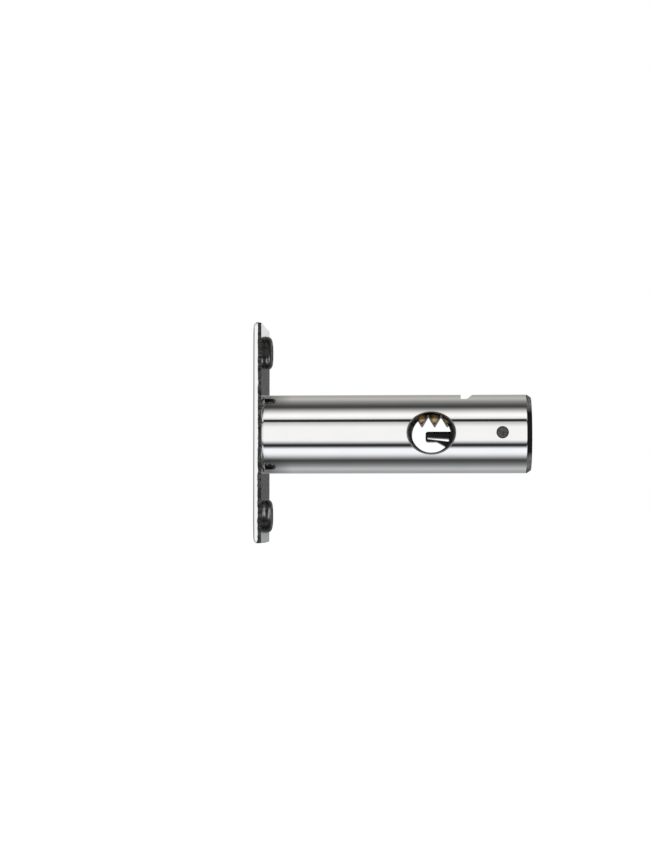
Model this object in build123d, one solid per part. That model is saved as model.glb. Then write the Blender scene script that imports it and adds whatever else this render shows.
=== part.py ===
from build123d import *
import math
import os

# Rack bolt, in millimetres. The bolt slides along X. The faceplate's front face is the plane X = 0 and faces -X,
# the barrel runs back along +X, and +Z is up, so the origin is the centre of the faceplate's front face.

# Faceplate
plate_height = 48.5
plate_width = 22.0
plate_thickness = 1.8
plate_corner_radius = 0.7
plate_front_round = 0.55
torn_edge_depth = 0.7  # rear part of the stamped edge, where the sheet tore
torn_edge_taper = 0.12
screw_spacing = 36.5
screw_hole_d = 3.9
countersink_d = 7.8
dimple_d = 7.5
dimple_height = 1.55
dimple_round = 1.2

# Barrel
barrel_od = 17.5
barrel_wall = 1.5
mouth_chamfer = 0.4
barrel_edge_break = 0.12
swage_length = 0.9
swage_bulge = 0.12
swage_round = 0.4
lug_notch_width = 2.6
tab_reach = 0.65  # how far a tab of the plate enters its notch
tab_round = 2.2
tab_set_back = 0.2  # from the plate's back to the tab's back
seat_gap = 0.02
relief_depth = 0.25  # groove round the barrel behind the plate, so that a sleeve can reach up to it
relief_past_plate = 0.25

# Keyhole, pierced through both walls of the barrel
keyhole_x = 38.95
keyhole_r = 4.4
keyhole_lip = 0.95  # how much wider the hole is at the crest of the barrel

# Half-sheared dent in the barrel's top, which guides and stops the bolt
dent_behind_keyhole = 6.5
dent_depth = 1.16
dent_floor = 1.5
dent_ramp = 1.35

# Bolt
running_gap = 0.05
nose_recess = 1.0
nose_chamfer = 0.55
centre_mark_r = 1.8
centre_mark_angle = 60.0
centre_rim = 0.3
centre_rim_depth = 0.12
face_groove_r = 3.8
face_groove_width = 0.3
face_groove_depth = 0.12
shank_behind_plate = 33.0  # solid round part, measured from the plate's front
bolt_rear_gap = 0.6
bolt_rear_chamfer = 0.3
flat_gap = 0.15
stop_gap = 0.1

# Rack, cut upwards into the bolt
tooth_pitch = 2.85
tooth_depth = 2.05
tooth_tip_z = 1.85
tooth_tip_flat = 0.25
tooth_root_flat = 0.12
root_before_keyhole = 0.7  # from the nearest root to the keyhole's centre
roots_before = 1
blind_end = 3.0

# Rear end
rear_length = 20.95  # from the keyhole's centre to the end of the barrel
cap_rim_length = 1.1
cap_bevel = 0.6
cap_bevel_length = 0.95
cap_joint_chamfer = 0.1
cap_fit_gap = 0.03
rack_clearance = 0.35
pin_before_end = 5.4
pin_d = 2.5
pin_chamfer = 0.15
pin_recess = 0.08
pin_fit_gap = 0.02

# Finger, which turns on the cross pin
key_r = 3.7  # room that the splined key needs about the keyhole's centre
finger_width = 6.0
finger_side_gap = 0.15
finger_top_z = 0.43
finger_past_centre = 1.3
nose_height = 2.2
nose_flat = 2.5
nose_corner = 0.55
finger_slope = 28.0
belly_z = -3.0
finger_cam = 0.4
slit_wall = 0.4
slit_length = 4.9
slit_height = 0.68
slit_drop = 1.08
slit_tilt = 5.5
finger_boss = 1.3
tail_length = 4.45
tail_height = 1.5
finger_pin_gap = 0.04
swing_gap = 0.35
stop_land = 1.2
tail_stop_gap = 0.03

# Spring under the finger
spring_before_pin = 5.6
spring_mean_r = 1.25
spring_wire_d = 0.35
spring_turns = 3.5
spring_seat_depth = 0.9
spring_seat_gap = 0.2
spring_end_gap = 0.02
stud_height = 0.6
stud_gap = 0.2
spigot_front_land = 0.5

# Sizes that follow from these
barrel_r = barrel_od / 2
bore_r = barrel_r - barrel_wall
barrel_end_x = keyhole_x + rear_length
cap_end_x = barrel_end_x + cap_rim_length
pin_x = barrel_end_x - pin_before_end
pin_r = pin_d / 2
dent_x = keyhole_x + dent_behind_keyhole
dent_back_x = dent_x + dent_floor + dent_ramp
dent_inner_z = bore_r - dent_depth
bolt_r = bore_r - running_gap
tab_length = plate_thickness - tab_set_back
bolt_rear_x = barrel_end_x - bolt_rear_gap
flat_z = dent_inner_z - flat_gap
spigot_r = bore_r - cap_fit_gap
spigot_top_z = tooth_tip_z - rack_clearance
finger_nose_x = keyhole_x - finger_past_centre
finger_swing = math.degrees(math.asin((key_r + finger_top_z) / (pin_x - keyhole_x)))
slot_half_width = finger_width / 2 + finger_side_gap
boss_r = pin_r + finger_boss
spring_x = pin_x - spring_before_pin
spring_outer_r = spring_mean_r + spring_wire_d / 2
spring_pocket_r = spring_outer_r + spring_seat_gap
spigot_reach = spring_before_pin + spring_pocket_r + spigot_front_land
past_body = barrel_od  # long enough to cut right through


def along_x(radius, x0, x1):
    """Round bar on the X axis."""
    return Pos((x0 + x1) / 2, 0, 0) * Rot(0, 90, 0) * Cylinder(radius, x1 - x0)


def along_y(radius, x, z, length):
    """Round bar parallel to Y, centred on Y = 0."""
    return Pos(x, 0, z) * Rot(90, 0, 0) * Cylinder(radius, length)


def block(x0, x1, width, z0, z1):
    """Box centred on Y = 0."""
    return Pos((x0 + x1) / 2, 0, (z0 + z1) / 2) * Box(x1 - x0, width, z1 - z0)


def turned(points):
    """Solid turned about the X axis from its half outline of (x, radius) points."""
    return revolve(make_face(Polyline(*points, close=True)), Axis.X)


def profile_y(points, width):
    """Side outline of (x, z) points, given a width centred on Y = 0."""
    face = make_face(Polyline(*points, close=True))
    return extrude(Plane.XZ * face, width / 2, both=True)


def pressed_countersink(z):
    """Drum that a pressed countersink raises on the back of the plate, and the hole to cut."""
    back_x = plate_thickness + dimple_height
    cone_depth = (countersink_d - screw_hole_d) / 2
    hole_r = screw_hole_d / 2
    drum = along_x(dimple_d / 2, plate_thickness / 2, back_x)
    rim = drum.edges().filter_by(GeomType.CIRCLE).sort_by(Axis.X)[-1]
    drum = fillet(rim, dimple_round)
    hole = turned([(0, 0), (0, countersink_d / 2), (cone_depth, hole_r), (back_x, hole_r), (back_x, 0)])
    return Pos(0, 0, z) * drum, Pos(0, 0, z) * hole


def swaged_outline(gap):
    """Outline of the swaged barrel end, grown by a gap, up to the plate's back."""
    bulge_r = barrel_r + swage_bulge + gap
    wall_r = barrel_r + gap
    return [(0, 0), (0, bulge_r), (swage_length / 2, bulge_r), (swage_length, wall_r), (plate_thickness, wall_r)]


def plate_tab(side):
    """Tab of the plate that enters the notch in the barrel's end, with a rounded tip."""
    tip_z = barrel_r - tab_reach
    width = lug_notch_width - 2 * seat_gap
    root = block(0, tab_length, width, tip_z, barrel_r + 2 * swage_bulge)
    tip = Pos(0, 0, tip_z + tab_round) * along_x(tab_round, 0, tab_length)
    tab = root & tip
    return tab if side > 0 else Rot(180, 0, 0) * tab


def make_faceplate():
    front_length = plate_thickness - torn_edge_depth
    corner = plate_corner_radius
    front_face = Plane.YZ * RectangleRounded(plate_width, plate_height, corner)
    plate = extrude(front_face, front_length)
    front_edges = plate.edges().group_by(Axis.X)[0]
    plate = fillet(front_edges, plate_front_round)
    start = Plane.YZ.offset(front_length) * RectangleRounded(plate_width, plate_height, corner)
    plate += extrude(start, torn_edge_depth, taper=math.degrees(math.atan(torn_edge_taper / torn_edge_depth)))
    for side in (1, -1):
        drum, hole = pressed_countersink(side * screw_spacing / 2)
        plate = plate + drum - hole
    plate -= turned(swaged_outline(seat_gap) + [(plate_thickness, 0)])
    for side in (1, -1):
        plate += plate_tab(side)
    return plate


def make_barrel():
    mouth_r = bore_r + mouth_chamfer
    edge = barrel_edge_break
    relief_r = barrel_r - relief_depth
    relief_end = plate_thickness + relief_past_plate
    outline = swaged_outline(0)[1:-1]
    outline += [(swage_length, relief_r), (relief_end - relief_depth, relief_r), (relief_end, barrel_r)]
    outline += [(barrel_end_x - edge, barrel_r), (barrel_end_x, barrel_r - edge)]
    outline += [(barrel_end_x, bore_r), (mouth_chamfer, bore_r), (0, mouth_r)]
    barrel = turned(outline)
    front_edge = barrel.edges().filter_by(GeomType.CIRCLE).group_by(Axis.X)[0].sort_by(SortBy.RADIUS)[-1]
    barrel = fillet(front_edge, swage_round)
    barrel -= block(0, tab_length, lug_notch_width, -past_body, past_body)
    barrel -= along_y(pin_r + pin_fit_gap, pin_x, 0, barrel_od)
    return press_dent(barrel - keyhole_cut())


def keyhole_cut():
    """Hole right through along Y, widening to a lip in each wall."""
    cut = along_y(keyhole_r, keyhole_x, 0, barrel_od + barrel_wall)
    lip = Cone(keyhole_r, keyhole_r + keyhole_lip, barrel_wall)
    for turn in (90, -90):
        cut += Pos(keyhole_x, 0, 0) * Rot(turn, 0, 0) * Pos(0, 0, bore_r + barrel_wall / 2) * lip
    return cut


def press_dent(barrel):
    """Pushes the top wall in behind a sheared step, with a flat floor and a ramp behind it."""
    floor_end = dent_x + dent_floor
    outer_z = barrel_r - dent_depth
    hollow = [(dent_x, outer_z), (floor_end, outer_z), (dent_back_x, barrel_r), (dent_back_x, barrel_od)]
    hollow += [(dent_x, barrel_od)]
    bump = [(dent_x, dent_inner_z), (floor_end, dent_inner_z), (dent_back_x, bore_r), (dent_x, bore_r)]
    filling = along_x(barrel_r, dent_x, dent_back_x) & profile_y(bump, barrel_od)
    return barrel + filling - profile_y(hollow, barrel_od)


def make_bolt():
    cone_depth = centre_mark_r / math.tan(math.radians(centre_mark_angle / 2))
    nose_x = nose_recess
    half_groove = face_groove_width / 2
    outline = [(nose_x + centre_rim_depth + cone_depth, 0), (nose_x + centre_rim_depth, centre_mark_r)]
    outline += [(nose_x, centre_mark_r + centre_rim), (nose_x, face_groove_r - half_groove)]
    outline += [(nose_x + face_groove_depth, face_groove_r), (nose_x, face_groove_r + half_groove)]
    outline += [(nose_x, bolt_r - nose_chamfer), (nose_x + nose_chamfer, bolt_r)]
    outline += [(bolt_rear_x - bolt_rear_chamfer, bolt_r), (bolt_rear_x, bolt_r - bolt_rear_chamfer)]
    outline += [(bolt_rear_x, 0)]
    bolt = turned(outline)
    bolt -= block(shank_behind_plate, bolt_rear_x, barrel_od, -barrel_r, tooth_tip_z)
    bolt -= block(dent_x - stop_gap, bolt_rear_x, barrel_od, flat_z, barrel_r)
    for root_x in rack_roots():
        bolt -= tooth_gap(root_x)
    return bolt


def rack_roots():
    """Places of the gaps between teeth, as many as fit before the blind end."""
    first = keyhole_x - root_before_keyhole - roots_before * tooth_pitch
    room = bolt_rear_x - blind_end - tooth_pitch / 2 - first
    return [first + i * tooth_pitch for i in range(int(room / tooth_pitch) + 1)]


def tooth_gap(root_x):
    half_mouth = (tooth_pitch - tooth_tip_flat) / 2
    half_root = tooth_root_flat / 2
    root_z = tooth_tip_z + tooth_depth
    low_z = tooth_tip_z - 1
    points = [(root_x - half_mouth, low_z), (root_x - half_mouth, tooth_tip_z), (root_x - half_root, root_z)]
    points += [(root_x + half_root, root_z), (root_x + half_mouth, tooth_tip_z), (root_x + half_mouth, low_z)]
    return profile_y(points, barrel_od)


def swept_floor_z(x_before_pin):
    """Height that the finger's belly sinks to at a place before the pin, when the finger is right down."""
    swing = math.radians(finger_swing)
    return (belly_z - x_before_pin * math.sin(swing)) / math.cos(swing)


def spring_floor_z():
    return swept_floor_z(spigot_reach) - swing_gap - spring_seat_depth


def make_end_cap():
    bevel_start = cap_end_x - cap_bevel_length
    outline = [(barrel_end_x, 0), (barrel_end_x, barrel_r - cap_joint_chamfer)]
    outline += [(barrel_end_x + cap_joint_chamfer, barrel_r), (bevel_start, barrel_r)]
    outline += [(cap_end_x, barrel_r - cap_bevel), (cap_end_x, 0)]
    spigot_front = pin_x - spigot_reach
    spigot = along_x(spigot_r, spigot_front, barrel_end_x)
    spigot -= block(spigot_front, barrel_end_x, barrel_od, spigot_top_z, barrel_r)
    cap = turned(outline) + spigot
    floor_z = swept_floor_z(spigot_reach) - swing_gap
    slot_back = pin_x + tail_length + swing_gap
    step_x = slot_back - stop_land
    step_z = finger_top_z - tail_height - tail_stop_gap
    cap -= block(spigot_front, step_x, 2 * slot_half_width, floor_z, barrel_r)
    cap -= block(step_x, slot_back, 2 * slot_half_width, step_z, barrel_r)
    pocket_top = floor_z + spring_seat_depth
    cap -= Pos(spring_x, 0, pocket_top - spring_seat_depth) * Cylinder(spring_pocket_r, 2 * spring_seat_depth)
    cap -= along_y(pin_r + pin_fit_gap, pin_x, 0, barrel_od)
    return cap


def make_cross_pin():
    pin = along_y(pin_r, pin_x, 0, barrel_od - 2 * pin_recess)
    return chamfer(pin.edges().filter_by(GeomType.CIRCLE), pin_chamfer)


def make_finger():
    nose_z = finger_top_z - nose_height
    slope_x = finger_nose_x + nose_flat
    belly_x = slope_x + (nose_z - belly_z) / math.tan(math.radians(finger_slope))
    side = [(finger_nose_x, finger_top_z), (finger_nose_x, nose_z), (slope_x, nose_z), (belly_x, belly_z)]
    side += [(pin_x, belly_z), (pin_x, finger_top_z)]
    finger = profile_y(side, finger_width)
    nose_edges = finger.edges().filter_by(Axis.Y).group_by(Axis.X)[0]
    finger = fillet(nose_edges, nose_corner)
    boss = along_y(boss_r, pin_x, 0, finger_width) - block(
        pin_x - boss_r, pin_x + boss_r, barrel_od, finger_top_z, barrel_r
    )
    tail = block(pin_x, pin_x + tail_length, finger_width, finger_top_z - tail_height, finger_top_z)
    finger = finger + boss + tail
    top_sides = finger.edges().filter_by(Axis.X).group_by(Axis.Z)[-1]
    finger = chamfer(top_sides, finger_cam)
    finger -= finger_slit()
    finger -= along_y(pin_r + finger_pin_gap, pin_x, 0, barrel_od)
    stud_r = spring_mean_r - spring_wire_d / 2 - stud_gap
    finger += Pos(spring_x, 0, belly_z - stud_height / 2) * Cylinder(stud_r, stud_height)
    return finger


def finger_slit():
    """Slit through the nose, tilted down to the rear."""
    slit = Pos(slit_length / 2, 0, -slit_height / 2) * Box(slit_length, barrel_od, slit_height)
    return Pos(finger_nose_x + slit_wall, 0, finger_top_z - slit_drop) * Rot(0, slit_tilt, 0) * slit


def make_finger_spring():
    bottom_z = spring_floor_z() + spring_wire_d / 2 + spring_end_gap
    top_z = belly_z - spring_wire_d / 2 - spring_end_gap
    pitch = (top_z - bottom_z) / spring_turns
    print(f"spring: gap between turns {pitch - spring_wire_d:.2f} mm, length {top_z - bottom_z:.2f} mm")
    path = Pos(spring_x, 0, bottom_z) * Helix(pitch, top_z - bottom_z, spring_mean_r)
    return sweep(Plane(origin=path @ 0, z_dir=path % 0) * Circle(spring_wire_d / 2), path=path)


pieces = {
    "faceplate": make_faceplate(),
    "barrel": make_barrel(),
    "bolt": make_bolt(),
    "end_cap": make_end_cap(),
    "cross_pin": make_cross_pin(),
    "detent_finger": make_finger(),
    "finger_spring": make_finger_spring(),
}

os.makedirs("parts", exist_ok=True)
for name, piece in pieces.items():
    export_step(piece, f"parts/{name}.step")
print(f"finger swing {finger_swing:.2f} degrees, pin at x {pin_x:.2f}, spring floor z {spring_floor_z():.3f}")
print(f"bolt volume {pieces['bolt'].volume:.0f} mm3, teeth gaps {len(rack_roots())}")
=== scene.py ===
import math

import bmesh
import bpy
import numpy as np
from mathutils.geometry import tessellate_polygon
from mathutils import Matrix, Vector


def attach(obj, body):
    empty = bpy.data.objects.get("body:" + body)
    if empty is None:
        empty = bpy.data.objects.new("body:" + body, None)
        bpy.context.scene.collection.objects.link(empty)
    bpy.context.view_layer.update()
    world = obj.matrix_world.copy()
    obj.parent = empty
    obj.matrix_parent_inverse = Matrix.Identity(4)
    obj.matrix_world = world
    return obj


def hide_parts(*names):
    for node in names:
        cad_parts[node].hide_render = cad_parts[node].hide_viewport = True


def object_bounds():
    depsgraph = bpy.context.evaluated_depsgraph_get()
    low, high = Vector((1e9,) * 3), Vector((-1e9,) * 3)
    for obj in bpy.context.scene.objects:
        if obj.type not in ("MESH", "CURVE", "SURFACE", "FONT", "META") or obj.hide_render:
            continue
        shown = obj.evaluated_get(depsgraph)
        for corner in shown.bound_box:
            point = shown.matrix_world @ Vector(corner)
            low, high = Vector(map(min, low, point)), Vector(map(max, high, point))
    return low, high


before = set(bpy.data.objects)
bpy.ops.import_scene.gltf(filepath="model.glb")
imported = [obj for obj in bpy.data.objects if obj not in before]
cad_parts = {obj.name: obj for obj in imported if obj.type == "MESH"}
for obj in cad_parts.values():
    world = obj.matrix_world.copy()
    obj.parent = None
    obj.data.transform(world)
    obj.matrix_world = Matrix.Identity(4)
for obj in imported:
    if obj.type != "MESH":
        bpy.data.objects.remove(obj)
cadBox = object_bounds()
print("frame loaded, nodes:", len(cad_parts))

# Every length below is in millimetres; mm turns it into metres as a mesh is made.
# X runs back along the barrel from the faceplate's front, Z is up, Y goes across.
mm = 0.001
random = np.random.default_rng(11)

# Mesh tools


def gridFaces(rows, columns, closed=False, loop=False):
    # point (i, j) has number i * columns + j; closed joins the last column to the first, loop the last row
    i = np.arange(rows if loop else rows - 1)[:, None]
    j = np.arange(columns if closed else columns - 1)[None, :]
    here, below = i * columns, ((i + 1) % rows) * columns
    beside = (j + 1) % columns
    return np.stack(np.broadcast_arrays(here + j, here + beside, below + beside, below + j), axis=-1)


def sheet(points, closed=False, mark=0):
    # one patch of surface: an array of rows x columns x 3 and its quads; mark is its material's number
    rows, columns = points.shape[:2]
    return points.reshape(-1, 3), gridFaces(rows, columns, closed).reshape(-1, 4), mark


def lathe(outline, segments, centre=(0.0, 0.0, 0.0), about="x", mark=0):
    # (along, r) turned about an axis: across = r cos a, up = r sin a
    along, r = np.asarray(outline, float).T[:, :, None]
    a = np.linspace(0, 2 * math.pi, segments, endpoint=False)[None, :]
    along = along + 0 * a
    turned = {"x": (along, r * np.cos(a), r * np.sin(a)),
              "y": (r * np.cos(a), along, r * np.sin(a)),
              "z": (r * np.cos(a), r * np.sin(a), along)}[about]
    return sheet(np.stack(turned, axis=-1) + np.array(centre), closed=True, mark=mark)


def around(t):
    # places on a circle of radius 1 at the angles t
    return np.stack([np.cos(t), np.sin(t)], axis=1)


def bend(centre, radius, start, end, steps):
    # round of an outline: centre + radius (cos t, sin t), t from start to end in degrees
    return np.array(centre) + radius * around(np.radians(np.linspace(start, end, steps)))


def tube(rings, mark=0):
    return sheet(np.array(rings), closed=True, mark=mark)


def flatFace(place, loops, mark=0, across=0):
    # plane face across an axis, at place: inside the first loop of flat points and outside the others
    flat = [np.insert(loop, across, place, axis=1) for loop in loops]
    return np.concatenate(flat), tessellate_polygon([loop.tolist() for loop in flat]), mark


def makeMesh(name, patches):
    points, faces, marks, start = [], [], [], 0
    for patchPoints, patchFaces, mark in patches:
        points.append(patchPoints)
        faces += [[int(corner) + start for corner in face] for face in patchFaces]
        marks += [mark] * len(patchFaces)
        start += len(patchPoints)
    mesh = bpy.data.meshes.new(name)
    mesh.from_pydata((np.concatenate(points) * mm).tolist(), [], faces)
    mesh.polygons.foreach_set("material_index", marks)
    work = bmesh.new()
    work.from_mesh(mesh)
    bmesh.ops.remove_doubles(work, verts=work.verts, dist=0.0015 * mm)
    bmesh.ops.dissolve_degenerate(work, edges=work.edges, dist=0.0005 * mm)
    bmesh.ops.recalc_face_normals(work, faces=work.faces)
    work.to_mesh(mesh)
    work.free()
    return mesh


def makePiece(name, patches, materials, sharpFrom=28):
    mesh = makeMesh(name, patches)
    for finish in materials:
        mesh.materials.append(finish)
    mesh.shade_smooth()
    mesh.set_sharp_from_angle(angle=math.radians(sharpFrom))
    piece = bpy.data.objects.new(name, mesh)
    bpy.context.scene.collection.objects.link(piece)
    return piece


def takeShape(piece):
    # the piece's modifiers become its mesh
    shaped = bpy.data.meshes.new_from_object(piece.evaluated_get(bpy.context.evaluated_depsgraph_get()))
    piece.modifiers.clear()
    piece.data = shaped


def carve(piece, cutters):
    # each cutter is a closed list of patches, taken out of the piece
    for patches in cutters:
        tool = bpy.data.objects.new("cutter", makeMesh("cutter", patches))
        bpy.context.scene.collection.objects.link(tool)
        cut = piece.modifiers.new("cut", "BOOLEAN")
        cut.object = tool
        cut.solver = "EXACT"
        takeShape(piece)
        bpy.data.objects.remove(tool)


def settleNormals(piece, walls=(), flats=()):
    # corner normals weighted by face area; faces on a round wall about X then get (0, y, z) / radius,
    # and faces in a plane x = const get (-1, 0, 0) or (1, 0, 0), so that polished faces mirror cleanly
    piece.modifiers.new("weigh", "WEIGHTED_NORMAL").keep_sharp = True
    takeShape(piece)
    mesh = piece.data

    def numbers(items, field, width=3, kind=np.float32):
        values = np.empty(len(items) * width, kind)
        items.foreach_get(field, values)
        return values.reshape(-1, width)

    normals, facing = numbers(mesh.corner_normals, "vector"), numbers(mesh.polygons, "normal")
    places = numbers(mesh.vertices, "co")[numbers(mesh.loops, "vertex_index", 1, np.int32)[:, 0]]
    starts = numbers(mesh.polygons, "loop_start", 1, np.int32)[:, 0]
    faceOf = np.repeat(np.arange(len(starts)), np.diff(np.append(starts, len(normals))))
    reach = np.hypot(places[:, 1], places[:, 2])
    near = 0.0004 * mm
    for radius in walls:
        on = np.minimum.reduceat(abs(reach - radius * mm) < near, starts)[faceOf]
        outward = places * (0, 1, 1) / np.maximum(reach, near)[:, None]
        side = np.sign((outward * facing[faceOf]).sum(axis=1))[:, None]
        normals[on] = (outward * side)[on]
    for x in flats:
        on = np.minimum.reduceat(abs(places[:, 0] - x * mm) < near, starts)[faceOf]
        normals[on] = (np.sign(facing) * (1, 0, 0))[faceOf][on]
    mesh.normals_split_custom_set(normals.tolist())


def seat(piece, node, body):
    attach(piece, body)
    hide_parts(node)
    print("made", piece.name, "faces:", len(piece.data.polygons))


# Material tools


def addNode(tree, kind, inputs, **settings):
    made = tree.nodes.new("ShaderNode" + kind)
    for name, value in settings.items():
        setattr(made, name, value)
    for name, value in inputs.items():
        if isinstance(value, bpy.types.NodeSocket):
            tree.links.new(value, made.inputs[name])
        else:
            made.inputs[name].default_value = value
    return made


def maths(tree, operation, first, second=0.0):
    return addNode(tree, "Math", {0: first, 1: second}, operation=operation).outputs[0]


def ownPlace(tree):
    return addNode(tree, "TexCoord", {}).outputs["Object"]


def partsOf(tree, vector):
    # X, Y and Z of a vector, and how far its Y and Z are from zero
    part = dict(addNode(tree, "SeparateXYZ", {"Vector": vector}).outputs.items())
    part["|Y|"], part["|Z|"] = (maths(tree, "ABSOLUTE", part[axis]) for axis in "YZ")
    return part


def grain(tree, stretch, scale, detail=3.0, roughness=0.5):
    # noise on the piece's own coordinates, in features per millimetre; stretch squeezes it along an axis
    size = [s * scale / mm for s in stretch]
    place = addNode(tree, "Mapping", {"Vector": ownPlace(tree), "Scale": size}).outputs["Vector"]
    noise = {"Vector": place, "Scale": 1.0, "Detail": detail, "Roughness": roughness}
    return addNode(tree, "TexNoise", noise).outputs["Fac"]


def spread(tree, value, low, high, fromLow=0.3, fromHigh=0.7, **settings):
    # most of a noise lies between 0.3 and 0.7
    given = {"Value": value, "From Min": fromLow, "From Max": fromHigh, "To Min": low, "To Max": high}
    return addNode(tree, "MapRange", given, **settings).outputs["Result"]


def shareOf(tree, values, ramps, unit):
    # product of ramps; each grows from 0 to 1 as its value goes from the first number to the second
    share = 1.0
    for name, start, end in ramps:
        ramp = spread(tree, values[name], 0, 1, start * unit, end * unit)
        share = maths(tree, "MULTIPLY", share, ramp)
    return share


def blendColours(tree, amount, first, second):
    # each colour is three numbers or another node's colour; they are the node's inputs 6 and 7
    first, second = ((*value, 1) if isinstance(value, tuple) else value for value in (first, second))
    return addNode(tree, "Mix", {0: amount, 6: first, 7: second}, data_type="RGBA").outputs[2]


def emboss(tree, height, depth, under=None):
    inputs = {"Height": height, "Distance": depth * mm, "Strength": 1.0}
    if under:
        inputs["Normal"] = under
    return addNode(tree, "Bump", inputs).outputs["Normal"]


def newFinish(name, fixed):
    finish = bpy.data.materials.new(name)
    finish.use_nodes = True
    shader = finish.node_tree.nodes["Principled BSDF"]
    for socket, value in fixed.items():
        shader.inputs[socket].default_value = value
    return finish, finish.node_tree, shader


# Teeth of the bolt's rack; both its shape and its finish go by them

rackTeeth = {
    "firstRoot": 35.4, "gaps": 7, "pitch": 2.85,
    "depth": 2.05, "tipZ": 1.85, "tipFlat": 0.25, "rootFlat": 0.12,
}

# Finishes: a base colour with layers of a colour, a pattern and ramps over it. A layer's share is its
# pattern, spread from a low to a high number, times its ramps of (coordinate, start, end) in millimetres.
# A pattern is one of the grains, given by the numbers that grain takes, or a value from the finish's own
# function. Inputs are numbers or spread patterns, and bumps are patterns with a depth in millimetres.

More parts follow.
